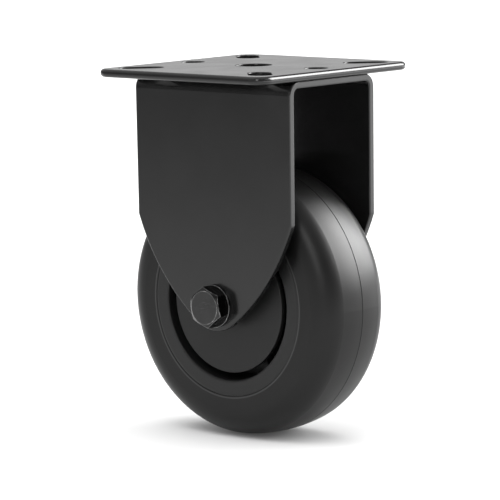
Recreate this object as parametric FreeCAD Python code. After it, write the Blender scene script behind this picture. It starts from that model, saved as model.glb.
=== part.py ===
"""Fixed castor: a folded steel fork welded under a slotted top plate, carrying a rubber-tyred wheel.

Millimetres. The origin is the centre of the plate's top face, +Z up. The wheel rolls along X and its
axle lies along Y. The bolt's head is on the -Y side and its lock nut on the +Y side.
"""
import FreeCAD, Part
import math
import os

V = FreeCAD.Vector
X_AXIS = V(1, 0, 0)
Y_AXIS = V(0, 1, 0)
Z_AXIS = V(0, 0, 1)

# Tyre
WHEEL_DIAMETER = 75.0
TYRE_WIDTH = 26.5
TYRE_HEIGHT = 11.85
TREAD_CROWN_RADIUS = 47.0
TYRE_SHOULDER_RADIUS = 6.9
MOULD_LINE_WIDTH = 0.3
MOULD_LINE_DEPTH = 0.12
SEAM_BEVEL_WIDTH = 0.5
SEAM_BEVEL_DEPTH = 0.1
LOCK_RIB_HEIGHT = 2.4
LOCK_RIB_WIDTH = 15.0
LOCK_RIB_SLOPE_WIDTH = 1.2

# Wheel centre
RIM_WALL = 4.3
RIM_FACE_RECESS = 0.05
RIM_MOUTH_ROUND = 0.6
RIM_DRAFT = 0.4
WEB_THICKNESS = 4.0
RIB_COUNT = 8
RIB_THICKNESS = 2.0
RIB_INSET = 8.0
BARREL_WALL = 2.8

# Ball bearings
BEARING_BORE = 6.0
BEARING_DIAMETER = 19.0
BEARING_WIDTH = 6.0
BEARING_SHOULDER = 1.5
BEARING_EDGE_CHAMFER = 0.3
BALL_DIAMETER = 3.5
BALL_COUNT = 7
BALL_CLEARANCE = 0.05
RACEWAY_DEPTH = 0.55
CAGE_CLEARANCE = 0.25
CAGE_BACK_WALL = 0.5
CAGE_LIP = 0.9
SHIELD_THICKNESS = 0.3
SHIELD_SEAT_DEPTH = 0.4
SHIELD_CAGE_GAP = 0.1
SHIELD_INNER_GAP = 0.15

# Thread guards and spacers
GUARD_GROOVE = 2.1
GUARD_RECESS = 0.9
GUARD_THICKNESS = 1.4
GUARD_BEARING_GAP = 0.9
GUARD_EDGE_ROUND = 0.2
GUARD_BOSS_WALL = 1.4
SPACER_WALL = 1.5

# Fork
SHEET = 2.1
FORK_LENGTH = 55.8
FORK_SIDE_CLEARANCE = 2.8
FORK_TOP_CLEARANCE = 23.0
BEND_INNER_RADIUS = 1.8
LEG_TAPER = 0.3
LEG_CORNER_RISE = 23.7
LEG_CORNER_ROUND = 1.2
FLANK_RADIUS = 62.5
NOSE_RADIUS = 10.8
NOSE_DROP = 7.0
SHEET_EDGE_ROUND = 0.5

# Top plate
PLATE_LENGTH = 60.2
PLATE_WIDTH = 64.6
PLATE_THICKNESS = 2.25
PLATE_CORNER_RADIUS = 4.5
PLATE_EDGE_LAND = 0.2
SLOT_WIDTH = 6.4
SLOT_LENGTH = 12.3
SLOT_INSET_X = 8.7
SLOT_INSET_Y = 9.8
SIDE_HOLE_DIAMETER = 6.4
SIDE_HOLE_SPACING = 44.5
CENTRE_HOLE_DIAMETER = 10.0
HOLE_EDGE_ROUND = 0.3

# Axle bolt, washers and lock nut
SHAFT_CLEARANCE = 0.03
AXLE_HOLE_CLEARANCE = 0.15
HEX_ACROSS_FLATS = 10.0
HEX_FACE_DIAMETER = 9.2
HEX_CHAMFER_ANGLE = 30.0
BOLT_HEAD_HEIGHT = 3.5
BOLT_HEAD_TURN = 39.0
BOLT_END_LENGTH = 1.8
BOLT_END_CHAMFER = 0.7
WASHER_DIAMETER = 12.0
WASHER_THICKNESS = 0.8
WASHER_EDGE_ROUND = 0.2
NUT_HEX_HEIGHT = 4.4
NUT_COLLAR_HEIGHT = 1.6
NUT_COLLAR_DIAMETER = 9.2
NUT_COLLAR_WALL = 0.7
NUT_COLLAR_ROUND = 0.4
NUT_TURN = 25.0
INSERT_THICKNESS = 1.2

# The plate's rim is a half round, apart from a narrow flat between its two edges
PLATE_EDGE_ROUND = (PLATE_THICKNESS - PLATE_EDGE_LAND) / 2

# Where the fork's web and the axle lie
WHEEL_RADIUS = WHEEL_DIAMETER / 2
WEB_TOP = -PLATE_THICKNESS
AXLE_HEIGHT = WEB_TOP - SHEET - FORK_TOP_CLEARANCE - WHEEL_RADIUS
AXLE = V(0, 0, AXLE_HEIGHT)

# Places along the axle, from the wheel's middle outwards
TYRE_SIDE = TYRE_WIDTH / 2
RIM_SIDE = TYRE_SIDE - RIM_FACE_RECESS
GUARD_FACE = TYRE_SIDE - GUARD_RECESS
GUARD_BACK = GUARD_FACE - GUARD_THICKNESS
BEARING_OUTER_FACE = GUARD_BACK - GUARD_BEARING_GAP
BEARING_INNER_FACE = BEARING_OUTER_FACE - BEARING_WIDTH
LEG_INSIDE = TYRE_SIDE + FORK_SIDE_CLEARANCE
LEG_OUTSIDE = LEG_INSIDE + SHEET
WASHER_FACE = LEG_OUTSIDE + WASHER_THICKNESS
NUT_END = WASHER_FACE + NUT_HEX_HEIGHT + NUT_COLLAR_HEIGHT

# Radii about the axle
SEAM_RADIUS = WHEEL_RADIUS - TYRE_HEIGHT
LOCK_RADIUS = SEAM_RADIUS + LOCK_RIB_HEIGHT
RIM_MOUTH_RADIUS = SEAM_RADIUS - RIM_WALL
GUARD_RADIUS = RIM_MOUTH_RADIUS - GUARD_GROOVE
BARREL_RADIUS = BEARING_DIAMETER / 2 + BARREL_WALL
BOLT_RADIUS = BEARING_BORE / 2 - SHAFT_CLEARANCE
AXLE_HOLE_RADIUS = BEARING_BORE / 2 + AXLE_HOLE_CLEARANCE
SPACER_RADIUS = BEARING_BORE / 2 + SPACER_WALL
INSERT_RADIUS = NUT_COLLAR_DIAMETER / 2 - NUT_COLLAR_WALL

# Inside a bearing, about its own middle plane
PITCH_RADIUS = (BEARING_BORE + BEARING_DIAMETER) / 4
BALL_RADIUS = BALL_DIAMETER / 2
RACEWAY_RADIUS = BALL_RADIUS + BALL_CLEARANCE
INNER_LAND_RADIUS = PITCH_RADIUS - RACEWAY_RADIUS + RACEWAY_DEPTH
OUTER_LAND_RADIUS = PITCH_RADIUS + RACEWAY_RADIUS - RACEWAY_DEPTH
CAGE_BACK = RACEWAY_RADIUS + CAGE_BACK_WALL
SHIELD_SEAT = CAGE_BACK + SHIELD_CAGE_GAP
SHIELD_OUTER_RADIUS = OUTER_LAND_RADIUS + SHIELD_SEAT_DEPTH

# Two lengths closer than this are the same
SAME = 1e-3


def rounded(before, corner, after, radius):
    """The start and the arc that round a square corner, for a profile that goes on from there."""
    def towards(point):
        length = math.dist(corner, point)
        return tuple(c + (p - c) / length * radius for c, p in zip(corner, point))

    start = towards(before)
    end = towards(after)
    share = 1 - math.sqrt(0.5)
    middle = tuple(c + (s - c + e - c) * share for c, s, e in zip(corner, start, end))
    return [start, ("arc", middle, end)]


def ring(profile):
    """Revolves a closed profile about the axle.

    Each point is (radius, y). An entry ("arc", middle, end) is an arc from the point before it.
    """
    def place(point):
        return AXLE + V(point[0], point[1], 0)

    edges = []
    here = profile[0]
    for item in profile[1:] + profile[:1]:
        if item[0] == "arc":
            middle, end = item[1], item[2]
            edges.append(Part.Arc(place(here), place(middle), place(end)).toShape())
        else:
            end = item
            edges.append(Part.LineSegment(place(here), place(end)).toShape())
        here = end
    face = Part.Face(Part.Wire(edges))
    return face.revolve(AXLE, Y_AXIS, 360)


def tube(inner_radius, outer_radius, y_from, y_to):
    """A plain tube round the axle."""
    return ring([(inner_radius, y_from), (outer_radius, y_from), (outer_radius, y_to), (inner_radius, y_to)])


def rod(radius, y_from, y_to):
    """A plain cylinder on the axle."""
    return Part.makeCylinder(radius, y_to - y_from, AXLE + Y_AXIS * y_from, Y_AXIS)


def mirrored(shape):
    """The same piece on the other side of the wheel."""
    return shape.mirror(V(0, 0, 0), Y_AXIS)


def both_sides(half):
    """A piece that is the same on both sides of the wheel's middle plane, from its half."""
    return half.fuse(mirrored(half)).removeSplitter()


def tyre():
    """Rubber tyre: flat sides, round shoulders, a crowned tread and a mould line round its middle."""
    crown_centre = WHEEL_RADIUS - TREAD_CROWN_RADIUS
    shoulder_y = TYRE_SIDE - TYRE_SHOULDER_RADIUS
    reach = TREAD_CROWN_RADIUS - TYRE_SHOULDER_RADIUS
    shoulder_r = crown_centre + math.sqrt(reach ** 2 - shoulder_y ** 2)
    line_angle = math.asin(MOULD_LINE_WIDTH / 2 / TREAD_CROWN_RADIUS)
    lean = math.asin(shoulder_y / reach)

    def on_crown(angle):
        return (crown_centre + TREAD_CROWN_RADIUS * math.cos(angle), TREAD_CROWN_RADIUS * math.sin(angle))

    shoulder_middle = (lean + math.pi / 2) / 2
    on_shoulder = (shoulder_r + TYRE_SHOULDER_RADIUS * math.cos(shoulder_middle),
                   shoulder_y + TYRE_SHOULDER_RADIUS * math.sin(shoulder_middle))
    half = ring([
        (LOCK_RADIUS, 0),
        (WHEEL_RADIUS - MOULD_LINE_DEPTH, 0),
        on_crown(line_angle),
        ("arc", on_crown((line_angle + lean) / 2), on_crown(lean)),
        ("arc", on_shoulder, (shoulder_r, TYRE_SIDE)),
        (SEAM_RADIUS + SEAM_BEVEL_WIDTH, TYRE_SIDE),
        (SEAM_RADIUS, TYRE_SIDE - SEAM_BEVEL_DEPTH),
        (SEAM_RADIUS, LOCK_RIB_WIDTH / 2 + LOCK_RIB_SLOPE_WIDTH),
        (LOCK_RADIUS, LOCK_RIB_WIDTH / 2),
    ])
    return both_sides(half)


def wheel_centre():
    """Moulded wheel centre: rim, web, ribs and a barrel with a seat for a bearing at each end."""
    web_side = WEB_THICKNESS / 2
    seat_radius = BEARING_DIAMETER / 2
    web_corner = (RIM_MOUTH_RADIUS - RIM_DRAFT, web_side)
    mouth = (RIM_MOUTH_RADIUS, RIM_SIDE)
    rim_edge = (SEAM_RADIUS - SEAM_BEVEL_WIDTH, RIM_SIDE)
    half = ring([
        (seat_radius - BEARING_SHOULDER, 0),
        (seat_radius - BEARING_SHOULDER, BEARING_INNER_FACE),
        (seat_radius, BEARING_INNER_FACE),
        (seat_radius, BEARING_OUTER_FACE),
        (BARREL_RADIUS, BEARING_OUTER_FACE),
        (BARREL_RADIUS, web_side),
        web_corner,
        *rounded((RIM_MOUTH_RADIUS, web_side), mouth, rim_edge, RIM_MOUTH_ROUND),
        rim_edge,
        (SEAM_RADIUS, RIM_SIDE - SEAM_BEVEL_DEPTH),
        (SEAM_RADIUS, LOCK_RIB_WIDTH / 2 + LOCK_RIB_SLOPE_WIDTH),
        (LOCK_RADIUS, LOCK_RIB_WIDTH / 2),
        (LOCK_RADIUS, 0),
    ])
    body = both_sides(half)
    rib_side = RIM_SIDE - RIB_INSET
    rib_from = BARREL_RADIUS - BARREL_WALL / 2
    rib_to = RIM_MOUTH_RADIUS + RIM_WALL / 2
    ribs = []
    for index in range(RIB_COUNT):
        rib = Part.makeBox(rib_to - rib_from, 2 * rib_side, RIB_THICKNESS,
                           AXLE + V(rib_from, -rib_side, -RIB_THICKNESS / 2))
        rib.rotate(AXLE, Y_AXIS, 360 / RIB_COUNT * (index + 0.5))
        ribs.append(rib)
    return body.fuse(ribs).removeSplitter()


def raceway_ring(seat_radius, land_radius, outward):
    """A bearing ring with a ball groove in its land. outward is 1 for the inner ring, -1 for the outer."""
    half_width = BEARING_WIDTH / 2
    bevel = BEARING_EDGE_CHAMFER
    groove_half = math.sqrt(RACEWAY_RADIUS ** 2 - (RACEWAY_RADIUS - RACEWAY_DEPTH) ** 2)
    groove_bottom = PITCH_RADIUS - outward * RACEWAY_RADIUS
    return ring([
        (seat_radius, -half_width + bevel),
        (seat_radius + outward * bevel, -half_width),
        (land_radius, -half_width),
        (land_radius, -groove_half),
        ("arc", (groove_bottom, 0), (land_radius, groove_half)),
        (land_radius, half_width),
        (seat_radius + outward * bevel, half_width),
        (seat_radius, half_width - bevel),
    ])


def outer_ring():
    """Bearing outer ring, with a seat for a shield in each face."""
    plain = raceway_ring(BEARING_DIAMETER / 2, OUTER_LAND_RADIUS, -1)
    seat = tube(PITCH_RADIUS, SHIELD_OUTER_RADIUS, SHIELD_SEAT, BEARING_WIDTH / 2)
    return plain.cut([seat, mirrored(seat)])


def ball_places():
    """The ball centres round the pitch circle, in the bearing's middle plane."""
    places = []
    for index in range(BALL_COUNT):
        angle = 2 * math.pi * index / BALL_COUNT
        places.append(AXLE + V(math.cos(angle), 0, math.sin(angle)) * PITCH_RADIUS)
    return places


def balls():
    """The bearing's balls, as separate solids."""
    return Part.makeCompound([Part.makeSphere(BALL_RADIUS, place) for place in ball_places()])


def cage():
    """Snap-in cage: a ring with a pocket for each ball, open towards the wheel's middle."""
    inner = INNER_LAND_RADIUS + CAGE_CLEARANCE
    outer = OUTER_LAND_RADIUS - CAGE_CLEARANCE
    band = tube(inner, outer, -CAGE_BACK, CAGE_LIP)
    pockets = [Part.makeCylinder(RACEWAY_RADIUS, outer, AXLE, place - AXLE) for place in ball_places()]
    return band.cut(pockets)


def shield():
    """Pressed steel shield in the outer ring's face."""
    return tube(INNER_LAND_RADIUS + SHIELD_INNER_GAP, SHIELD_OUTER_RADIUS, SHIELD_SEAT,
                SHIELD_SEAT + SHIELD_THICKNESS)


def bearing_pieces(side):
    """All pieces of one bearing in its seat. The nut's side is the head's side mirrored."""
    pieces = {
        "inner_ring": raceway_ring(BEARING_BORE / 2, INNER_LAND_RADIUS, 1),
        "outer_ring": outer_ring(),
        "balls": balls(),
        "cage": cage(),
        "outboard_shield": mirrored(shield()),
        "inboard_shield": shield(),
    }
    placed = {}
    for name, shape in pieces.items():
        shape.translate(-Y_AXIS * (BEARING_OUTER_FACE + BEARING_INNER_FACE) / 2)
        placed[side + "_side_bearing_" + name] = mirrored(shape) if side == "nut" else shape
    return placed


def thread_guard():
    """Plastic disc that keeps threads out of the bearing, with a boss that reaches the fork's leg."""
    boss = SPACER_RADIUS + GUARD_BOSS_WALL
    rim_back = (GUARD_RADIUS, -GUARD_BACK)
    rim_face = (GUARD_RADIUS, -GUARD_FACE)
    return ring([
        (SPACER_RADIUS, -GUARD_BACK),
        rim_back,
        *rounded(rim_back, rim_face, (boss, -GUARD_FACE), GUARD_EDGE_ROUND),
        (boss, -GUARD_FACE),
        (boss, -LEG_INSIDE),
        (SPACER_RADIUS, -LEG_INSIDE),
    ])


def outer_spacer():
    """Steel sleeve between the fork's leg and the bearing's inner ring."""
    return tube(BEARING_BORE / 2, SPACER_RADIUS, -LEG_INSIDE, -BEARING_OUTER_FACE)


def centre_spacer():
    """Steel sleeve between the two inner rings."""
    return tube(BEARING_BORE / 2, SPACER_RADIUS, -BEARING_INNER_FACE, BEARING_INNER_FACE)


def leg_outline():
    """The fork's outline seen along the axle: tapered sides, long curved flanks and a round nose."""
    half = FORK_LENGTH / 2
    nose = AXLE + Z_AXIS * (NOSE_RADIUS - NOSE_DROP)
    corner = AXLE + V(half - LEG_TAPER, 0, LEG_CORNER_RISE)
    chord = corner - nose
    reach = FLANK_RADIUS - NOSE_RADIUS
    along = (reach ** 2 - FLANK_RADIUS ** 2 + chord.Length ** 2) / (2 * chord.Length)
    across = math.sqrt(reach ** 2 - along ** 2)
    unit = V(chord).normalize()
    flank_centre = nose + unit * along + V(-unit.z, 0, unit.x) * across
    touch = nose + (nose - flank_centre).normalize() * NOSE_RADIUS
    middle_way = (touch - flank_centre) + (corner - flank_centre)
    flank_middle = flank_centre + middle_way.normalize() * FLANK_RADIUS
    bottom = nose - Z_AXIS * NOSE_RADIUS
    top = V(half, 0, 0)

    def left(point):
        return V(-point.x, point.y, point.z)

    edges = [
        Part.LineSegment(top, corner).toShape(),
        Part.Arc(corner, flank_middle, touch).toShape(),
        Part.Arc(touch, bottom, left(touch)).toShape(),
        Part.Arc(left(touch), left(flank_middle), left(corner)).toShape(),
        Part.LineSegment(left(corner), left(top)).toShape(),
        Part.LineSegment(left(top), top).toShape(),
    ]
    face = Part.Face(Part.Wire(edges))
    face.translate(-Y_AXIS * LEG_OUTSIDE)
    block = face.extrude(Y_AXIS * 2 * LEG_OUTSIDE)
    corners = []
    for edge in block.Edges:
        middle = edge.CenterOfMass
        if abs(middle.y) < SAME and abs(middle.z - corner.z) < SAME:
            corners.append(edge)
    return block.makeFillet(LEG_CORNER_ROUND, corners)


def channel_skin(leg_y, top, radius, low):
    """One skin of an upside-down channel, from the foot of one leg over its web to the foot of the other."""
    turn = radius * (1 - math.sqrt(0.5))
    edges = [Part.LineSegment(V(0, radius - leg_y, top), V(0, leg_y - radius, top)).toShape()]
    for side in (-1, 1):
        foot = V(0, side * leg_y, low)
        leg_top = V(0, side * leg_y, top - radius)
        bend = V(0, side * (leg_y - turn), top - turn)
        web_end = V(0, side * (leg_y - radius), top)
        edges.append(Part.LineSegment(foot, leg_top).toShape())
        edges.append(Part.Arc(leg_top, bend, web_end).toShape())
    return edges


def folded_sheet():
    """The folded sheet before its legs are cut to shape: an upside-down channel along X."""
    low = AXLE_HEIGHT - NOSE_DROP
    edges = channel_skin(LEG_OUTSIDE, WEB_TOP, BEND_INNER_RADIUS + SHEET, low)
    edges += channel_skin(LEG_INSIDE, WEB_TOP - SHEET, BEND_INNER_RADIUS, low)
    for side in (-1, 1):
        edges.append(Part.LineSegment(V(0, side * LEG_INSIDE, low), V(0, side * LEG_OUTSIDE, low)).toShape())
    face = Part.Face(Part.Wire(Part.__sortEdges__(edges)))
    face.translate(-X_AXIS * FORK_LENGTH / 2)
    return face.extrude(X_AXIS * FORK_LENGTH)


def is_rim_edge(edge):
    """True for an edge of the folded sheet's cut rim, but not for one that crosses the sheet's thickness."""
    span = edge.Vertexes[-1].Point - edge.Vertexes[0].Point
    along_fold = abs(span.y) < SAME and abs(span.z) < SAME
    along_axle = abs(span.x) < SAME and abs(span.z) < SAME
    in_web = edge.CenterOfMass.z > WEB_TOP - SHEET - SAME
    return not along_fold and (in_web or not along_axle)


def fork():
    """Fork: one steel sheet folded over the wheel, its cut edges slightly rounded."""
    sheet = folded_sheet().common(leg_outline()).removeSplitter().Solids[0]
    sheet = sheet.makeFillet(SHEET_EDGE_ROUND, [edge for edge in sheet.Edges if is_rim_edge(edge)])
    axle_hole = rod(AXLE_HOLE_RADIUS, -LEG_OUTSIDE, LEG_OUTSIDE)
    return sheet.cut([axle_hole, *middle_holes()])


def middle_holes():
    """Cutters for the centre hole and the two side holes, which go through the plate and the fork's web."""
    low = V(0, 0, WEB_TOP - SHEET)
    depth = PLATE_THICKNESS + SHEET
    cutters = [Part.makeCylinder(CENTRE_HOLE_DIAMETER / 2, depth, low)]
    for side in (-1, 1):
        place = low + X_AXIS * side * SIDE_HOLE_SPACING / 2
        cutters.append(Part.makeCylinder(SIDE_HOLE_DIAMETER / 2, depth, place))
    return cutters


def slot(side_x, side_y):
    """Cutter for one corner slot, which points at the middle of the plate."""
    half_run = (SLOT_LENGTH - SLOT_WIDTH) / 2
    radius = SLOT_WIDTH / 2
    shape = Part.makeBox(2 * half_run, SLOT_WIDTH, PLATE_THICKNESS, V(-half_run, -radius, WEB_TOP))
    for end in (-half_run, half_run):
        shape = shape.fuse(Part.makeCylinder(radius, PLATE_THICKNESS, V(end, 0, WEB_TOP)))
    centre = V(side_x * (PLATE_LENGTH / 2 - SLOT_INSET_X), side_y * (PLATE_WIDTH / 2 - SLOT_INSET_Y), 0)
    shape = shape.removeSplitter()
    shape.rotate(V(0, 0, 0), Z_AXIS, math.degrees(math.atan2(centre.y, centre.x)))
    shape.translate(centre)
    return shape


def is_face_edge(edge):
    """True for an edge that lies in the plate's top or bottom face."""
    box = edge.BoundBox
    return box.ZLength < SAME and min(abs(box.ZMax), abs(box.ZMax - WEB_TOP)) < SAME


def is_hole_edge(edge):
    """True for an edge of a hole in the plate's top or bottom face."""
    box = edge.BoundBox
    reach_x = max(box.XMax, -box.XMin)
    reach_y = max(box.YMax, -box.YMin)
    flat_x = PLATE_LENGTH / 2 - PLATE_EDGE_ROUND
    flat_y = PLATE_WIDTH / 2 - PLATE_EDGE_ROUND
    return is_face_edge(edge) and reach_x < flat_x - SAME and reach_y < flat_y - SAME


def top_plate():
    """Pressed steel plate with a rounded rim, four diagonal slots, two side holes and a centre hole."""
    blank = Part.makeBox(PLATE_LENGTH, PLATE_WIDTH, PLATE_THICKNESS,
                         V(-PLATE_LENGTH / 2, -PLATE_WIDTH / 2, WEB_TOP))
    upright = [edge for edge in blank.Edges if edge.BoundBox.ZLength > PLATE_THICKNESS - SAME]
    blank = blank.makeFillet(PLATE_CORNER_RADIUS, upright)
    blank = blank.makeFillet(PLATE_EDGE_ROUND, [edge for edge in blank.Edges if is_face_edge(edge)])
    slots = [slot(side_x, side_y) for side_x in (-1, 1) for side_y in (-1, 1)]
    plate = blank.cut(middle_holes() + slots)
    return plate.makeFillet(HOLE_EDGE_ROUND, [edge for edge in plate.Edges if is_hole_edge(edge)])


def chamfered_hexagon(height, turn):
    """A hexagon along +Y from y = 0, turned about the axle, with its corners turned off at its far end."""
    corner = HEX_ACROSS_FLATS / 2 / math.cos(math.pi / 6)
    points = []
    for index in range(7):
        angle = math.radians(turn) + math.pi / 3 * index
        points.append(AXLE + V(math.cos(angle), 0, math.sin(angle)) * corner)
    prism = Part.Face(Part.makePolygon(points)).extrude(Y_AXIS * height)
    reach = HEX_ACROSS_FLATS
    drop = (reach - HEX_FACE_DIAMETER / 2) * math.tan(math.radians(HEX_CHAMFER_ANGLE))
    cone = Part.makeCone(reach, HEX_FACE_DIAMETER / 2, drop, AXLE + Y_AXIS * (height - drop), Y_AXIS)
    return prism.common(cone.fuse(rod(reach, -reach, height - drop)))


def axle_bolt():
    """Hexagon-head bolt that is the wheel's axle."""
    head = mirrored(chamfered_hexagon(BOLT_HEAD_HEIGHT, BOLT_HEAD_TURN))
    head.translate(-Y_AXIS * WASHER_FACE)
    end = NUT_END + BOLT_END_LENGTH
    shank = ring([
        (0, -WASHER_FACE),
        (BOLT_RADIUS, -WASHER_FACE),
        (BOLT_RADIUS, end - BOLT_END_CHAMFER),
        (BOLT_RADIUS - BOLT_END_CHAMFER, end),
        (0, end),
    ])
    return head.fuse(shank).removeSplitter()


def washer():
    """Flat washer under the bolt's head."""
    inner_face = (AXLE_HOLE_RADIUS, -WASHER_FACE)
    seat = (WASHER_DIAMETER / 2, -LEG_OUTSIDE)
    edge = (WASHER_DIAMETER / 2, -WASHER_FACE)
    return ring([
        (AXLE_HOLE_RADIUS, -LEG_OUTSIDE),
        seat,
        *rounded(seat, edge, inner_face, WASHER_EDGE_ROUND),
        inner_face,
    ])


def lock_nut():
    """Lock nut: a hexagon with a round collar that holds a plastic ring."""
    hexed = chamfered_hexagon(NUT_HEX_HEIGHT, NUT_TURN)
    hexed.translate(Y_AXIS * WASHER_FACE)
    foot = (NUT_COLLAR_DIAMETER / 2, WASHER_FACE + NUT_HEX_HEIGHT / 2)
    edge = (NUT_COLLAR_DIAMETER / 2, NUT_END)
    inner_end = (BOLT_RADIUS, NUT_END)
    collar = ring([
        (BOLT_RADIUS, foot[1]),
        foot,
        *rounded(foot, edge, inner_end, NUT_COLLAR_ROUND),
        inner_end,
    ])
    bore = rod(BOLT_RADIUS, WASHER_FACE, NUT_END)
    insert_room = rod(INSERT_RADIUS, NUT_END - INSERT_THICKNESS, NUT_END)
    return hexed.fuse(collar).cut([bore, insert_room]).removeSplitter()


def lock_nut_insert():
    """Plastic ring in the lock nut's collar."""
    return tube(BOLT_RADIUS, INSERT_RADIUS, NUT_END - INSERT_THICKNESS, NUT_END)


def build():
    """Every piece of the castor by its node's name."""
    return {
        "top_plate": top_plate(),
        "fork": fork(),
        "tyre": tyre(),
        "wheel_centre": wheel_centre(),
        "head_side_thread_guard": thread_guard(),
        "nut_side_thread_guard": mirrored(thread_guard()),
        "head_side_spacer": outer_spacer(),
        "nut_side_spacer": mirrored(outer_spacer()),
        "centre_spacer": centre_spacer(),
        "axle_bolt": axle_bolt(),
        "head_washer": washer(),
        "nut_washer": mirrored(washer()),
        "lock_nut": lock_nut(),
        "lock_nut_insert": lock_nut_insert(),
        **bearing_pieces("head"),
        **bearing_pieces("nut"),
    }


def main():
    os.makedirs("parts", exist_ok=True)
    for name, shape in build().items():
        shape.exportStep("parts/" + name + ".step")


main()
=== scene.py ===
# %% [markdown]
# A fixed castor, dressed in Blender.
# The castor's pieces arrive already shaped: a slotted top plate, a fork folded from one sheet, a crowned
# rubber tyre on a moulded centre, and the bolt, bearings and sleeves in between. This lesson gives each
# piece the finish it has on the real thing, adds the bolt's thread as a bump, and sets up a small white
# studio around it.

# %% Load the castor
import math

import bmesh
import bpy
from mathutils import Matrix, Vector


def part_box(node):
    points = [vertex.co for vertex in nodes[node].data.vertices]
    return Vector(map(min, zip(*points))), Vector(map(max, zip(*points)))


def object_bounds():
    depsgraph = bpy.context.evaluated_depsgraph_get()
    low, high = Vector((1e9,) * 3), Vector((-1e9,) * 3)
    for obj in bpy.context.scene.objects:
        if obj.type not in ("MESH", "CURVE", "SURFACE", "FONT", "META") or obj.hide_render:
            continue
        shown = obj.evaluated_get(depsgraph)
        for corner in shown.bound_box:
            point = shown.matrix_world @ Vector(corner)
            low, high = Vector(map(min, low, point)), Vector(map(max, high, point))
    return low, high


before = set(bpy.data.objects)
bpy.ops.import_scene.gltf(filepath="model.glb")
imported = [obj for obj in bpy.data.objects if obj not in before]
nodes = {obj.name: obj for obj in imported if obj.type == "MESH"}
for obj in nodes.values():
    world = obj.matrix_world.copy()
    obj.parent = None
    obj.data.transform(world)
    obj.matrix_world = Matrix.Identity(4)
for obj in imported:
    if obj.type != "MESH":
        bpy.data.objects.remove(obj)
cad_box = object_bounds()
MM = 0.001
print("the castor's box in millimetres:", [[round(v / MM, 1) for v in corner] for corner in cad_box])

# %% [markdown]
# The axle.
# Rings and rims on a wheel run round its axle, so their patterns need to know where the axle is. Instead
# of typing its height, we read it off the bolt's washer: the middle of its box is on the axle.

# %% Where the axle runs
washer_low, washer_high = (Vector(corner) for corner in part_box("head_washer"))
axle_height = (washer_low.z + washer_high.z) / 2
print(f"the axle runs along Y, {-axle_height / MM:.1f} mm under the top of the plate")

# %% [markdown]
# The camera.
# The castor was looked at from its front right corner, a little above the axle, through a long lens that
# keeps its upright edges almost parallel. A camera can be aimed with a constraint, but a rotation built
# from three directions (right, up and back) says exactly what the view is, and allows the small lean
# that a hand-set camera has.

# %% Camera
VIEW_AZIMUTH = math.radians(40.688)
VIEW_ELEVATION = math.radians(7.615)
VIEW_LEAN = math.radians(-0.905)
VIEW_DISTANCE = 919.515 * MM
AIM_SIDEWAYS = -1.828 * MM
AIM_RAISED = 13.351 * MM
LENS = 238.19
SENSOR = 36.0


def aim_camera():
    """A camera that looks at a point near the axle from the photograph's side."""
    flat = math.cos(VIEW_ELEVATION)
    outward = Vector((math.sin(VIEW_AZIMUTH), -math.cos(VIEW_AZIMUTH), 0))
    back = flat * outward + math.sin(VIEW_ELEVATION) * Vector((0, 0, 1))
    level_right = Vector((math.cos(VIEW_AZIMUTH), math.sin(VIEW_AZIMUTH), 0))
    level_up = back.cross(level_right)
    right = math.cos(VIEW_LEAN) * level_right + math.sin(VIEW_LEAN) * level_up
    up = math.cos(VIEW_LEAN) * level_up - math.sin(VIEW_LEAN) * level_right
    target = Vector((0, 0, axle_height)) + AIM_SIDEWAYS * level_right + AIM_RAISED * level_up
    lens = bpy.data.cameras.new("camera")
    lens.lens = LENS
    lens.sensor_width = SENSOR
    camera = bpy.data.objects.new("camera", lens)
    turn = Matrix((right, up, back)).transposed().to_4x4()
    camera.matrix_world = Matrix.Translation(target + back * VIEW_DISTANCE) @ turn
    bpy.context.scene.collection.objects.link(camera)
    bpy.context.scene.camera = camera
    return camera


camera = aim_camera()
print("camera at", [round(v, 3) for v in camera.matrix_world.translation], "metres")

# %% [markdown]
# The floor.
# A castor like this is pictured on a white sweep, a sheet lit so strongly that it turns pure white and
# only a faint shadow under the wheel says where it stands. A plane of a few metres does it. What the
# sheet looks like outside the picture matters as much, because black steel mirrors it: on the window's
# side a painted glow brightens it, and to the far left painted shade darkens its white. Its white comes
# last, with the finishes.

# %% Floor
FLOOR_REACH = 6.0
FLOOR_SEGMENTS = 24


def lay_floor():
    """A flat sheet that the wheel stands on."""
    sheet = bmesh.new()
    bmesh.ops.create_grid(sheet, x_segments=FLOOR_SEGMENTS, y_segments=FLOOR_SEGMENTS, size=FLOOR_REACH)
    mesh = bpy.data.meshes.new("studio_floor")
    sheet.to_mesh(mesh)
    sheet.free()
    floor = bpy.data.objects.new("studio_floor", mesh)
    floor.location.z = cad_box[0][2]
    bpy.context.scene.collection.objects.link(floor)
    return floor


floor = lay_floor()
print(f"floor laid at {floor.location.z / MM:.1f} mm")

# %% [markdown]
# The studio.
# Black things are shown by what they mirror, so the studio is designed as a set of soft areas around
# the castor. Panels could be area lights, but then the floor would be brightest right under them.
# Painting them on the world behind everything lights the floor evenly to its far edge, and each area
# keeps a plain meaning: a middle, a half width, a half height and a soft edge in degrees, and how bright
# it is where it is mirrored and where it lights a matte surface.
# The window stands behind on the right: it draws the broad band on the tread and lights the bends and
# rims that turn towards it. A narrow strip in front gives the soft line on the tyre's shoulder. The room
# between the two stays dark, and the dark lines along bends and edges are its mirror image. The top of
# the plate mirrors the backdrop. The wing, the front glow and the left wall give the roundings in
# between something soft to show, and the wide ceiling keeps the shadow under the castor light.

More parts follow.
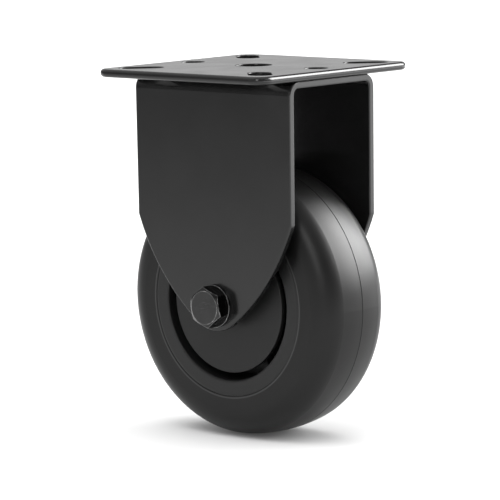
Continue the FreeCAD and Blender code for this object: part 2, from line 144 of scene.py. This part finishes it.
# %% Where each soft area of the studio is
HAZE = {
    "window": {"azimuth": 149, "elevation": 27, "half_width": 19, "half_height": 17, "edge": 9,
               "mirrored": 20.0, "lit": 4.0},
    "window_wing": {"azimuth": 112, "elevation": 33, "half_width": 22, "half_height": 14, "edge": 9,
                    "mirrored": 1.6, "lit": 3.0},
    "front_strip": {"azimuth": 24, "elevation": 31, "half_width": 7, "half_height": 17, "edge": 6,
                    "mirrored": 6.0, "lit": 3.0},
    "front_glow": {"azimuth": 0, "elevation": 0, "half_width": 34, "half_height": 14, "edge": 12,
                   "mirrored": 0.6, "lit": 0.6},
    "backdrop": {"azimuth": -139, "elevation": 4, "half_width": 25, "half_height": 10, "edge": 5,
                 "mirrored": 0.46, "lit": 0.5},
    "left_wall": {"azimuth": -70, "elevation": 45, "half_width": 60, "half_height": 25, "edge": 12,
                  "mirrored": 0.42, "lit": 0.6},
    "ceiling": {"azimuth": 0, "elevation": 90, "half_width": 400, "half_height": 38, "edge": 12,
                "mirrored": 0.6, "lit": 4.0},
}
ROOM_MIRRORED = 0.24
ROOM_LIT = 0.6
print("soft areas planned:", ", ".join(HAZE))

# %% [markdown]
# The world as a dome.
# The ray's own direction gives its azimuth and elevation. How far it is from an area's middle, in each
# of the two, fades the area in and out, and the areas add up. What glossy paint mirrors and what lights
# the white floor can be set apart: a Light Path node tells the rays that mirror from the others, as a
# lamp can be strong in a reflection and weak on the table.

# %% Helpers for nodes and sums


def add_node(tree, kind, **settings):
    """A new node of that kind with those settings."""
    node = tree.nodes.new("ShaderNode" + kind)
    for name, value in settings.items():
        setattr(node, name, value)
    return node


def feed(tree, source, socket):
    """Joins an output to an input, or sets the input where the source is a plain value."""
    if isinstance(source, bpy.types.NodeSocket):
        tree.links.new(source, socket)
    else:
        socket.default_value = source


def calculate(tree, operation, *values):
    """One sum on sockets or numbers."""
    node = add_node(tree, "Math", operation=operation)
    for value, socket in zip(values, node.inputs):
        feed(tree, value, socket)
    return node.outputs[0]


def spread(tree, value, low, high, to_low=0.0, to_high=1.0):
    """Stretches the range low to high over to_low to to_high, and cuts what is outside."""
    node = add_node(tree, "MapRange", interpolation_type="SMOOTHSTEP")
    settings = {"Value": value, "From Min": low, "From Max": high, "To Min": to_low, "To Max": to_high}
    for name, setting in settings.items():
        feed(tree, setting, node.inputs[name])
    return node.outputs["Result"]


print("helpers for nodes and sums ready")

# %% The dome


def ray_angles(tree):
    """The azimuth and elevation of a ray, in radians, counted as for the camera."""
    apart = add_node(tree, "SeparateXYZ")
    feed(tree, add_node(tree, "TexCoord").outputs["Generated"], apart.inputs[0])
    toward = calculate(tree, "MULTIPLY", apart.outputs["Y"], -1.0)
    azimuth = calculate(tree, "ARCTAN2", apart.outputs["X"], toward)
    return azimuth, calculate(tree, "ARCSINE", apart.outputs["Z"])


def fade(tree, angle, middle, half, edge):
    """1 within half of the middle and 0 beyond, with a soft edge on both sides of that line."""
    off = calculate(tree, "ABSOLUTE", calculate(tree, "SUBTRACT", angle, math.radians(middle)))
    return spread(tree, off, math.radians(half + edge), math.radians(half - edge))


def paint_dome():
    """A dim room with the soft areas of HAZE on it, as mirrored and as lighting."""
    world = bpy.data.worlds.new("studio_dome")
    world.use_nodes = True
    tree = world.node_tree
    azimuth, elevation = ray_angles(tree)
    mirrored = ROOM_MIRRORED
    lit = ROOM_LIT
    for area in HAZE.values():
        across = fade(tree, azimuth, area["azimuth"], area["half_width"], area["edge"])
        upward = fade(tree, elevation, area["elevation"], area["half_height"], area["edge"])
        shown = calculate(tree, "MULTIPLY", across, upward)
        mirrored = calculate(tree, "MULTIPLY_ADD", shown, area["mirrored"], mirrored)
        lit = calculate(tree, "MULTIPLY_ADD", shown, area["lit"], lit)
    extra = calculate(tree, "SUBTRACT", mirrored, lit)
    in_mirror = add_node(tree, "LightPath").outputs["Is Glossy Ray"]
    dome = tree.nodes["Background"].inputs
    dome["Color"].default_value = (1, 1, 1, 1)
    feed(tree, calculate(tree, "MULTIPLY_ADD", in_mirror, extra, lit), dome["Strength"])
    bpy.context.scene.world = world


paint_dome()
bpy.context.scene.view_settings.view_transform = "Standard"
print(f"a dome with {len(HAZE)} soft areas")

# %% [markdown]
# Tools for building materials.
# Node materials are easier to read when a line of code says one thing. An effect that several finishes
# share becomes a node group: a small machine with named inputs and outputs that every material can set
# differently.

# %% Helpers for textures and groups


def blend_colours(tree, amount, first, second):
    """The first colour where amount is 0 and the second where it is 1.

    A Mix node has sockets for each kind of data: colours come in at 6 and 7 and leave at 2.
    """
    node = add_node(tree, "Mix", data_type="RGBA")
    for number, value in ((0, amount), (6, first), (7, second)):
        feed(tree, value, node.inputs[number])
    return node.outputs[2]


def own_place(tree):
    """Where a spot lies, in metres from the origin of its own piece."""
    return add_node(tree, "TexCoord").outputs["Object"]


def per_metre(tree, size):
    """How many times something of that size fits in a metre."""
    return calculate(tree, "DIVIDE", 1.0, size)


def noise(tree, place, scale, detail=2.0, roughness=0.5):
    """Cloudy noise between 0 and 1 at a scale in repeats per metre."""
    node = add_node(tree, "TexNoise")
    settings = {"Vector": place, "Scale": scale, "Detail": detail, "Roughness": roughness}
    for name, setting in settings.items():
        feed(tree, setting, node.inputs[name])
    return node.outputs["Fac"]


def start_group(name, inputs, outputs):
    """An empty node group: inputs as (name, value), outputs as names, all of them numbers."""
    group = bpy.data.node_groups.new(name, "ShaderNodeTree")
    for label, value in inputs:
        socket = group.interface.new_socket(label, in_out="INPUT", socket_type="NodeSocketFloat")
        socket.default_value = value
    for label in outputs:
        group.interface.new_socket(label, in_out="OUTPUT", socket_type="NodeSocketFloat")
    return group, group.nodes.new("NodeGroupInput").outputs, group.nodes.new("NodeGroupOutput").inputs


def place_group(tree, group, **values):
    """Puts the group in a material with its own values, and gives back its outputs."""
    node = tree.nodes.new("ShaderNodeGroup")
    node.node_tree = group
    for name, value in values.items():
        feed(tree, value, node.inputs[name.replace("_", " ")])
    return node.outputs


print("helpers for textures and groups ready")

# %% [markdown]
# Moulded and painted skin.
# Rubber, moulded plastic and paint share one habit: the surface is never quite flat. It has a fine
# orange-peel grain, and wide soft patches where the sheen changes. Noise at two sizes gives both, and
# object coordinates are in metres here, so a size can be typed as a real one.

# %% Group: skin grain
PATCH_START = 0.3
PATCH_FULL = 0.7


def build_skin_grain():
    """Grain is the fine texture and Patches the wide, slow change."""
    group, given, wanted = start_group(
        "skin grain", (("Grain Size", 0.4 * MM), ("Patch Size", 12 * MM)), ("Grain", "Patches"))
    place = own_place(group)
    fine = noise(group, place, per_metre(group, given["Grain Size"]), detail=2.0, roughness=0.55)
    wide = noise(group, place, per_metre(group, given["Patch Size"]), detail=3.0, roughness=0.5)
    feed(group, fine, wanted["Grain"])
    feed(group, spread(group, wide, PATCH_START, PATCH_FULL), wanted["Patches"])
    return group


skin_grain = build_skin_grain()
print("group:", skin_grain.name)

# %% [markdown]
# Edges that see the most handling.
# Paint is thinner and shinier along an edge, and rubs off there first. The Bevel node rounds the normal
# near an edge, so comparing it with the true normal shows how close an edge is. A noise breaks the band
# up, because wear is never even.

# %% Group: edge rub
CHIP_START = 0.42
CHIP_FULL = 0.66


def build_edge_rub():
    """Band is the clean strip along edges, and Rub the same strip broken up by wear.

    Likeness is how like the two normals still are where the strip is full: near 1 for blunt edges.
    """
    group, given, wanted = start_group(
        "edge rub", (("Width", 0.4 * MM), ("Likeness", 0.86), ("Chip Size", 2 * MM), ("Amount", 0.5)),
        ("Band", "Rub"))
    softened = add_node(group, "Bevel", samples=6)
    feed(group, given["Width"], softened.inputs["Radius"])
    likeness = add_node(group, "VectorMath", operation="DOT_PRODUCT")
    feed(group, softened.outputs[0], likeness.inputs[0])
    feed(group, add_node(group, "NewGeometry").outputs["Normal"], likeness.inputs[1])
    band = spread(group, likeness.outputs["Value"], 1.0, given["Likeness"])
    chips = noise(group, own_place(group), per_metre(group, given["Chip Size"]), detail=4.0, roughness=0.65)
    broken = calculate(group, "MULTIPLY", band, spread(group, chips, CHIP_START, CHIP_FULL))
    feed(group, band, wanted["Band"])
    feed(group, calculate(group, "MULTIPLY", broken, given["Amount"]), wanted["Rub"])
    return group


edge_rub = build_edge_rub()
print("group:", edge_rub.name)

# %% [markdown]
# Handling scratches.
# Steel parts that are barrelled and boxed in bulk pick up hair-fine scratches in every direction. Two
# stretched noises at an angle to each other, each cut down to its thinnest contour, look like them.

# %% Group: hair scratches
STREAKS = (
    {"turn": (0.3, 0.2, 0.5), "stretch": (1.0, 9.0, 5.0)},
    {"turn": (0.7, 0.9, 2.1), "stretch": (8.0, 1.0, 6.0)},
)
FADES_PER_METRE = 160.0
FADE_START = 0.45
FADE_FULL = 0.7


def build_hair_scratches():
    """Scratches is 1 on a scratch and 0 between them."""
    group, given, wanted = start_group(
        "hair scratches", (("Length", 10 * MM), ("Thinness", 0.02)), ("Scratches",))
    place = own_place(group)
    both = 0.0
    for streak in STREAKS:
        mapping = add_node(group, "Mapping")
        feed(group, place, mapping.inputs["Vector"])
        feed(group, streak["turn"], mapping.inputs["Rotation"])
        feed(group, streak["stretch"], mapping.inputs["Scale"])
        streaks = noise(group, mapping.outputs[0], per_metre(group, given["Length"]), detail=1.0)
        off_middle = calculate(group, "ABSOLUTE", calculate(group, "SUBTRACT", streaks, 0.5))
        both = calculate(group, "MAXIMUM", both, spread(group, off_middle, given["Thinness"], 0.0))
    kept = spread(group, noise(group, place, FADES_PER_METRE, detail=2.0), FADE_START, FADE_FULL)
    feed(group, calculate(group, "MULTIPLY", both, kept), wanted["Scratches"])
    return group


hair_scratches = build_hair_scratches()
print("group:", hair_scratches.name)

# %% [markdown]
# Turning marks.
# A turned face keeps the spiral of the tool as rings round the axle, and a moulded wheel keeps the
# rings of the turned mould it came from. The distance from the axle, run through a sine, makes rings. A
# little noise in that distance keeps them from looking printed.

# %% Helper: places round the axle


def round_the_axle(tree):
    """Where a spot lies along the axle, beside it, above it, and how far it is from the axle."""
    apart = add_node(tree, "SeparateXYZ")
    feed(tree, own_place(tree), apart.inputs[0])
    beside = apart.outputs["X"]
    above = calculate(tree, "SUBTRACT", apart.outputs["Z"], axle_height)
    square = calculate(tree, "ADD", calculate(tree, "MULTIPLY", beside, beside),
                       calculate(tree, "MULTIPLY", above, above))
    return apart.outputs["Y"], beside, above, calculate(tree, "SQRT", square)


print("helper for places round the axle ready")

# %% Group: rings round the axle
SHAKES_PER_METRE = 300.0


def build_axle_rings():
    """Rings rises and falls with the distance from the axle."""
    group, given, wanted = start_group(
        "rings round the axle", (("Pitch", 0.3 * MM), ("Unevenness", 0.3)), ("Rings",))
    distance = round_the_axle(group)[-1]
    cloud = noise(group, own_place(group), SHAKES_PER_METRE)
    shake = calculate(group, "MULTIPLY", cloud, given["Unevenness"])
    shaken = calculate(group, "ADD", calculate(group, "DIVIDE", distance, given["Pitch"]), shake)
    wave = calculate(group, "SINE", calculate(group, "MULTIPLY", shaken, math.tau))
    feed(group, calculate(group, "MULTIPLY_ADD", wave, 0.5, 0.5), wanted["Rings"])
    return group


axle_rings = build_axle_rings()
print("group:", axle_rings.name)

# %% [markdown]
# The painted highlight where the tyre meets the centre.
# Rubber is moulded on to the centre, and at the joint a thin, slightly paler line is painted on the
# rubber as a highlight. Its radius is read off the tyre: it is the smallest one on the tyre's side face.

# %% Group: line round the axle
tyre_side = Vector(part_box("tyre")[1]).y
SIDE_DEPTH = 0.05 * MM
tyre_points = [vertex.co for vertex in nodes["tyre"].data.vertices]
side_points = [point for point in tyre_points if point.y > tyre_side - SIDE_DEPTH]
seam_radius = min(math.hypot(point.x, point.z - axle_height) for point in side_points)


def build_axle_line():
    """Line is 1 at one distance from the axle, and fades out to both sides over Width."""
    group, given, wanted = start_group(
        "line round the axle", (("Radius", 20 * MM), ("Width", 0.2 * MM)), ("Line",))
    off = calculate(group, "SUBTRACT", round_the_axle(group)[-1], given["Radius"])
    feed(group, spread(group, calculate(group, "ABSOLUTE", off), given["Width"], 0.0), wanted["Line"])
    return group


axle_line = build_axle_line()
print(f"group: {axle_line.name}, the tyre's joint at radius {seam_radius / MM:.2f} mm")

# %% [markdown]
# The bolt's thread.
# The bolt's end stands out of the lock nut with its thread showing. A thread could be modelled as a
# swept ridge, but on a stub this short a bump looks the same: a saw of one ridge to each pitch, shifted
# round the axle by the angle, so that the ridges climb like the real ones.

# %% Group: screw thread
nut_end = Vector(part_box("lock_nut")[1]).y
bolt_end = Vector(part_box("axle_bolt")[1]).y
THREAD_RADIUS = 3 * MM
THREAD_PITCH = 1 * MM
THREAD_DEPTH = 0.6 * MM
HALF_TURN = 0.5
GROOVE_SIDE = 0.06
RIDGE_SIDE = 0.44


def build_screw_thread():
    """Thread is 1 on a ridge and 0 in its groove, on the stub between From and To, and 0 elsewhere."""
    group, given, wanted = start_group(
        "screw thread", (("Pitch", THREAD_PITCH), ("Radius", THREAD_RADIUS), ("From", 0.0), ("To", 0.0)),
        ("Thread",))
    along, beside, above, distance = round_the_axle(group)
    turn = calculate(group, "DIVIDE", calculate(group, "ARCTAN2", above, beside), math.tau)
    climb = calculate(group, "ADD", calculate(group, "DIVIDE", along, given["Pitch"]), turn)
    ridge = spread(group, calculate(group, "PINGPONG", climb, HALF_TURN), GROOVE_SIDE, RIDGE_SIDE)
    on_stub = calculate(group, "LESS_THAN", distance, given["Radius"])
    past_nut = calculate(group, "GREATER_THAN", along, given["From"])
    before_end = calculate(group, "LESS_THAN", along, given["To"])
    shown = calculate(group, "MULTIPLY", on_stub, calculate(group, "MULTIPLY", past_nut, before_end))
    feed(group, calculate(group, "MULTIPLY", ridge, shown), wanted["Thread"])
    return group


screw_thread = build_screw_thread()
print(f"group: {screw_thread.name}, on a stub of {(bolt_end - nut_end) / MM:.1f} mm")

# %% [markdown]
# One way to start every material.
# Each finish below starts from the same three things: a Principled shader, a bump that bends the normal
# by a height in real metres, and the values that hold for the whole surface, set on the shader's own
# sockets.

# %% A blank finish


def start_finish(name, **whole_surface):
    """A new material with its Principled shader, whose plain values are set by name."""
    material = bpy.data.materials.new(name)
    material.use_nodes = True
    tree = material.node_tree
    shader = tree.nodes["Principled BSDF"]
    for label, value in whole_surface.items():
        shader.inputs[label.replace("_", " ")].default_value = value
    return material, tree, shader.inputs


def raise_grain(tree, shader, height, depth):
    """Bends the normal by a height between 0 and 1 that stands for depth metres."""
    bump = add_node(tree, "Bump")
    bump.inputs["Strength"].default_value = 1.0
    feed(tree, depth, bump.inputs["Distance"])
    feed(tree, height, bump.inputs["Height"])
    tree.links.new(bump.outputs[0], shader["Normal"])


def grey(value, warmth=0.0):
    """A near-neutral colour: warmth lifts the red and lowers the blue by that share."""
    return (value * (1 + warmth), value, value * (1 - warmth), 1.0)


print("finishes start from the Principled shader")

# %% [markdown]
# Black satin paint on the plate and the fork.
# Electro-dip paint follows the steel closely: it is thin and even, with a soft gloss, and its edges
# catch the light as one clean line. A very dark base with low roughness gives charcoal faces that mirror
# the floor softly, and the sheen changes a little from patch to patch. Along the edges the film is
# glossier, and its base is painted darker there as a painted shade line, like the room's dark mirror
# image; here and there it is rubbed a shade paler.

# %% Finish: black satin paint
PAINT_DARK = grey(0.0055)
PAINT_LIGHT = grey(0.0075)
# painted shade: the near-black base colour put along every edge as a dark line
PAINT_EDGE_SHADE = grey(0.002)
PAINT_RUBBED = grey(0.012)
PAINT_SHEEN = (0.155, 0.185)
PAINT_PEEL = 0.004 * MM
EDGE_SMOOTHER = 0.03
SCRATCH_ROUGHER = 0.02


def satin_paint():
    """Thin black paint with a fine peel, soft sheen patches, painted shade along its edges and slightly
    rubbed edges.
    """
    material, tree, shader = start_finish("black_satin_paint", IOR=1.43)
    skin = place_group(tree, skin_grain, Grain_Size=0.35 * MM, Patch_Size=14 * MM)
    edge = place_group(tree, edge_rub, Width=0.3 * MM, Chip_Size=1.6 * MM, Amount=0.5)
    hair = place_group(tree, hair_scratches, Length=12 * MM, Thinness=0.006)
    body = blend_colours(tree, skin["Patches"], PAINT_DARK, PAINT_LIGHT)
    # painted shade: the edge band darkens the base colour into a dark line along each edge
    edge_shaded = blend_colours(tree, edge["Band"], body, PAINT_EDGE_SHADE)
    feed(tree, blend_colours(tree, edge["Rub"], edge_shaded, PAINT_RUBBED), shader["Base Color"])
    sheen = spread(tree, skin["Patches"], 0.0, 1.0, *PAINT_SHEEN)
    smoother = calculate(tree, "SUBTRACT", sheen, calculate(tree, "MULTIPLY", edge["Band"], EDGE_SMOOTHER))
    rougher = calculate(tree, "MULTIPLY", hair["Scratches"], SCRATCH_ROUGHER)
    feed(tree, calculate(tree, "ADD", smoother, rougher), shader["Roughness"])
    raise_grain(tree, shader, skin["Grain"], PAINT_PEEL)
    return material


black_paint = satin_paint()
print("finish:", black_paint.name)

# %% [markdown]
# Tyre rubber.
# New moulded rubber is a very dark grey with a soft sheen, which spreads a bright window into a broad
# band with no edge. Its grain is finer than paint's, and soft patches show where the compound flowed.
# The faintest rings come from the turned mould, and the joint with the centre gets its pale line, a painted
# highlight.

# %% Finish: tyre rubber
# the last of these colours is a painted highlight line at the joint, not a colour of the rubber
RUBBER_DARK = grey(0.0034, 0.01)
RUBBER_LIGHT = grey(0.0048, 0.01)
RUBBER_JOINT_HIGHLIGHT = grey(0.035)
RUBBER_SHEEN = (0.34, 0.38)
RUBBER_GRAIN = 0.006 * MM
RUBBER_RINGS = 0.15


def tyre_rubber():
    """Charcoal rubber with a fine grain, faint mould rings and a pale joint line painted as a highlight."""
    material, tree, shader = start_finish("tyre_rubber", IOR=1.33)
    skin = place_group(tree, skin_grain, Grain_Size=0.3 * MM, Patch_Size=16 * MM)
    rings = place_group(tree, axle_rings, Pitch=0.35 * MM, Unevenness=0.5)
    joint = place_group(tree, axle_line, Radius=seam_radius, Width=0.4 * MM)
    body = blend_colours(tree, skin["Patches"], RUBBER_DARK, RUBBER_LIGHT)
    # painted highlight: a pale line put on the rubber at the joint
    feed(tree, blend_colours(tree, joint["Line"], body, RUBBER_JOINT_HIGHLIGHT), shader["Base Color"])
    feed(tree, spread(tree, skin["Patches"], 0.0, 1.0, *RUBBER_SHEEN), shader["Roughness"])
    height = calculate(tree, "MULTIPLY_ADD", rings["Rings"], RUBBER_RINGS, skin["Grain"])
    raise_grain(tree, shader, height, RUBBER_GRAIN)
    return material


rubber = tyre_rubber()
print("finish:", rubber.name)

# %% [markdown]
# The moulded wheel centre, thread guards and bearing cages.
# The three are black polymer from steel moulds: the wheel centre comes out a little smoother, the guards
# and the bearings' cages duller. The mould's fine spark-eroded texture is a grain of about a quarter of
# a millimetre. One function makes all three, because only the shade, the dullness and the grain differ.

# %% Finish: moulded plastics
PATCH_CONTRAST = 0.08
SHEEN_CHANGE = 0.02
RUBBED_PALER = 2.2
PLASTIC_GRAIN = 0.005 * MM
PLASTIC_RINGS = 0.12


def moulded_plastic(name, shade, dull, grain):
    """Black polymer with a spark-eroded grain and rings from the turned mould."""
    material, tree, shader = start_finish(name, IOR=1.4)
    skin = place_group(tree, skin_grain, Grain_Size=grain, Patch_Size=10 * MM)
    edge = place_group(tree, edge_rub, Width=0.25 * MM, Chip_Size=1.5 * MM, Amount=0.3)
    rings = place_group(tree, axle_rings, Pitch=0.4 * MM, Unevenness=0.4)
    body = blend_colours(tree, skin["Patches"], grey(shade * (1 - PATCH_CONTRAST)),
                         grey(shade * (1 + PATCH_CONTRAST)))
    feed(tree, blend_colours(tree, edge["Rub"], body, grey(shade * RUBBED_PALER)), shader["Base Color"])
    sheen = spread(tree, skin["Patches"], 0.0, 1.0, dull - SHEEN_CHANGE, dull + SHEEN_CHANGE)
    feed(tree, sheen, shader["Roughness"])
    height = calculate(tree, "MULTIPLY_ADD", rings["Rings"], PLASTIC_RINGS, skin["Grain"])
    raise_grain(tree, shader, height, PLASTIC_GRAIN)
    return material


wheel_plastic = moulded_plastic("wheel_centre_plastic", shade=0.006, dull=0.42, grain=0.28 * MM)
guard_plastic = moulded_plastic("guard_plastic", shade=0.0065, dull=0.52, grain=0.25 * MM)
cage_plastic = moulded_plastic("bearing_cage_plastic", shade=0.03, dull=0.5, grain=0.2 * MM)
print("finishes:", wheel_plastic.name, guard_plastic.name, cage_plastic.name)

# %% [markdown]
# Blackened fasteners.
# The bolt, its washers and the nut are steel with a black conversion coat: still a metal, but a very
# dark one, and about as smooth as the paint. Barrel handling leaves hair scratches, and the sharp
# corners of the hexagon are rubbed bright first. The thread's ridges are far higher than the grain, so
# the two are added in the thread's scale before they bend the normal.

# %% Finish: blackened fastener steel
COAT_DARK = grey(0.037)
COAT_LIGHT = grey(0.044)
BARE_STEEL = grey(0.4)
COAT_SHEEN = (0.15, 0.19)
EDGE_POLISH = 0.35
SCRATCH_POLISH = 0.1
SCRATCH_DEPTH = 0.5
GRAIN_OVER_THREAD = 0.007
THREAD_STOPS_SHORT = THREAD_DEPTH / 4


def blackened_steel():
    """Dark oiled steel with hair scratches and bright-rubbed corners."""
    material, tree, shader = start_finish("blackened_steel", Metallic=1.0)
    skin = place_group(tree, skin_grain, Grain_Size=0.5 * MM, Patch_Size=4 * MM)
    edge = place_group(tree, edge_rub, Width=0.3 * MM, Likeness=0.97, Chip_Size=1.2 * MM, Amount=1.0)
    hair = place_group(tree, hair_scratches, Length=4 * MM, Thinness=0.012)
    thread = place_group(tree, screw_thread, From=nut_end, To=bolt_end - THREAD_STOPS_SHORT)
    body = blend_colours(tree, skin["Patches"], COAT_DARK, COAT_LIGHT)
    handled = calculate(tree, "MULTIPLY", edge["Band"], EDGE_POLISH)
    polish = calculate(tree, "MAXIMUM", edge["Rub"], handled)
    scratched = calculate(tree, "MULTIPLY", hair["Scratches"], SCRATCH_POLISH)
    worn = calculate(tree, "MAXIMUM", polish, scratched)
    feed(tree, blend_colours(tree, worn, body, BARE_STEEL), shader["Base Color"])
    feed(tree, spread(tree, skin["Patches"], 0.0, 1.0, *COAT_SHEEN), shader["Roughness"])
    cut = calculate(tree, "MULTIPLY", hair["Scratches"], SCRATCH_DEPTH)
    fine = calculate(tree, "SUBTRACT", skin["Grain"], cut)
    height = calculate(tree, "MULTIPLY_ADD", fine, GRAIN_OVER_THREAD, thread["Thread"])
    raise_grain(tree, shader, height, THREAD_DEPTH)
    return material


black_steel = blackened_steel()
print("finish:", black_steel.name)

# %% [markdown]
# Zinc and ground steel inside.
# The sleeves are turned and zinc-plated, with a pale blue cast. The bearing rings are ground, the shields
# are pressed from bright steel and the balls are polished. One function makes these bright metals, each
# with its own colour, dullness, ring spacing and scratches.

# %% Finishes: bright metals inside the hub
DULL_PATCHES = 0.82
METAL_SMOOTHER = 0.05
METAL_ROUGHER = 0.06
SCRATCHED_DULLER = 0.12
RINGS_SHARE = 0.6
GRAIN_SHARE = 0.3
TURNING_MARKS = 0.006 * MM


def turned_metal(name, colour, dull, ring_pitch, scratch):
    """Bright metal with turning marks, hair scratches and a cloudy sheen."""
    material, tree, shader = start_finish(name, Metallic=1.0)
    skin = place_group(tree, skin_grain, Grain_Size=0.6 * MM, Patch_Size=3 * MM)
    rings = place_group(tree, axle_rings, Pitch=ring_pitch, Unevenness=0.2)
    hair = place_group(tree, hair_scratches, Length=4 * MM, Thinness=scratch)
    dark = tuple(channel * DULL_PATCHES for channel in colour)
    feed(tree, blend_colours(tree, skin["Patches"], dark + (1.0,), colour + (1.0,)), shader["Base Color"])
    sheen = spread(tree, skin["Patches"], 0.0, 1.0, dull - METAL_SMOOTHER, dull + METAL_ROUGHER)
    scratched = calculate(tree, "MULTIPLY_ADD", hair["Scratches"], SCRATCHED_DULLER, sheen)
    feed(tree, scratched, shader["Roughness"])
    grain = calculate(tree, "MULTIPLY", skin["Grain"], GRAIN_SHARE)
    height = calculate(tree, "MULTIPLY_ADD", rings["Rings"], RINGS_SHARE, grain)
    raise_grain(tree, shader, height, TURNING_MARKS)
    return material


zinc = turned_metal("zinc_plated_steel", (0.60, 0.62, 0.65), dull=0.34, ring_pitch=0.22 * MM, scratch=0.012)
bearing_steel = turned_metal(
    "ground_bearing_steel", (0.62, 0.61, 0.60), dull=0.24, ring_pitch=0.16 * MM, scratch=0.008)
ball_steel = turned_metal(
    "polished_ball_steel", (0.70, 0.70, 0.70), dull=0.12, ring_pitch=0.9 * MM, scratch=0.004)
print("finishes:", zinc.name, bearing_steel.name, ball_steel.name)

# %% [markdown]
# Milky nylon.
# The ring in the lock nut's collar grips the thread so that the nut can't shake loose. It is undyed
# nylon, which lets a little light in under its surface, and the shader's subsurface weight does that.

# %% Finish: milky nylon
NYLON_DARK = grey(0.62, 0.04)
NYLON_LIGHT = grey(0.72, 0.03)
NYLON_SHEEN = (0.38, 0.48)
NYLON_GRAIN = 0.008 * MM


def milky_nylon():
    """Undyed nylon, faintly see-through at its edges."""
    material, tree, shader = start_finish("milky_nylon", IOR=1.53, Subsurface_Weight=0.3)
    shader["Subsurface Radius"].default_value = (1.0 * MM, 1.0 * MM, 0.8 * MM)
    skin = place_group(tree, skin_grain, Grain_Size=0.3 * MM, Patch_Size=2 * MM)
    feed(tree, blend_colours(tree, skin["Patches"], NYLON_DARK, NYLON_LIGHT), shader["Base Color"])
    feed(tree, spread(tree, skin["Patches"], 0.0, 1.0, *NYLON_SHEEN), shader["Roughness"])
    raise_grain(tree, shader, skin["Grain"], NYLON_GRAIN)
    return material


nylon = milky_nylon()
print("finish:", nylon.name)

# %% [markdown]
# Dressing the castor.
# Each piece keeps its own mesh and only its material slot changes. The table goes from a finish to the
# words that the names of its pieces end in, so that both bearings are dressed by the same line.

# %% Put the finishes on
FINISHES = (
    (black_paint, ("top_plate", "fork")),
    (rubber, ("tyre",)),
    (wheel_plastic, ("wheel_centre",)),
    (guard_plastic, ("thread_guard",)),
    (black_steel, ("axle_bolt", "washer", "lock_nut")),
    (nylon, ("lock_nut_insert",)),
    (zinc, ("spacer",)),
    (bearing_steel, ("inner_ring", "outer_ring", "shield")),
    (ball_steel, ("balls",)),
    (cage_plastic, ("cage",)),
)


def dress(node, material):
    """Puts one material in every slot of a piece."""
    for slot in node.material_slots:
        slot.material = material


dressed = {}
for finish, endings in FINISHES:
    for name, node in nodes.items():
        if name.endswith(endings):
            dress(node, finish)
            dressed[name] = finish.name
print(f"{len(dressed)} of {len(nodes)} pieces dressed")

# %% [markdown]
# The floor's white.
# The sheet has a faint mottle in its white, too weak to see except in the shadow. How far a spot lies
# towards the window or the left is a dot product of its place with that direction. It sets where a
# painted glow makes the sheet emit light and where painted shade darkens its white, nearly all of it
# outside the picture, where only the castor's paint shows it.

# %% Finish: white sheet
FLOOR_WHITE = 0.57
MOTTLE = 0.01
# painted shade and a painted glow: the white is darkened towards the front left, and it emits light towards
# the window
SHADE = {"toward": -41, "from": -0.1, "to": 1.1, "depth": 0.68}
GLOW = {"toward": 139, "from": 0.28, "to": 0.6, "near": 0.05, "far": 2.1}


def toward(tree, azimuth):
    """How far a spot lies from the castor in that direction, in metres along the floor."""
    angle = math.radians(azimuth)
    along = add_node(tree, "VectorMath", operation="DOT_PRODUCT")
    feed(tree, own_place(tree), along.inputs[0])
    feed(tree, (math.sin(angle), -math.cos(angle), 0), along.inputs[1])
    return along.outputs["Value"]


def white_sheet():
    """Matte white with a faint mottle, a painted glow on the window's side and painted shade to the left.
    """
    material, tree, shader = start_finish("white_sheet", Roughness=0.9, IOR=1.42)
    shader["Emission Color"].default_value = (1, 1, 1, 1)
    skin = place_group(tree, skin_grain, Grain_Size=2 * MM, Patch_Size=150 * MM)
    white = blend_colours(tree, skin["Patches"], grey(FLOOR_WHITE), grey(FLOOR_WHITE + MOTTLE))
    # painted shade: the white blended towards black along the left direction
    shade = spread(tree, toward(tree, SHADE["toward"]), SHADE["from"], SHADE["to"], 0.0, SHADE["depth"])
    feed(tree, blend_colours(tree, shade, white, grey(0.0)), shader["Base Color"])
    # painted glow: emission, not a lamp, brightens the sheet towards the window
    glow = spread(tree, toward(tree, GLOW["toward"]), GLOW["from"], GLOW["to"], GLOW["near"], GLOW["far"])
    feed(tree, glow, shader["Emission Strength"])
    return material


floor.data.materials.append(white_sheet())
print("floor finished")
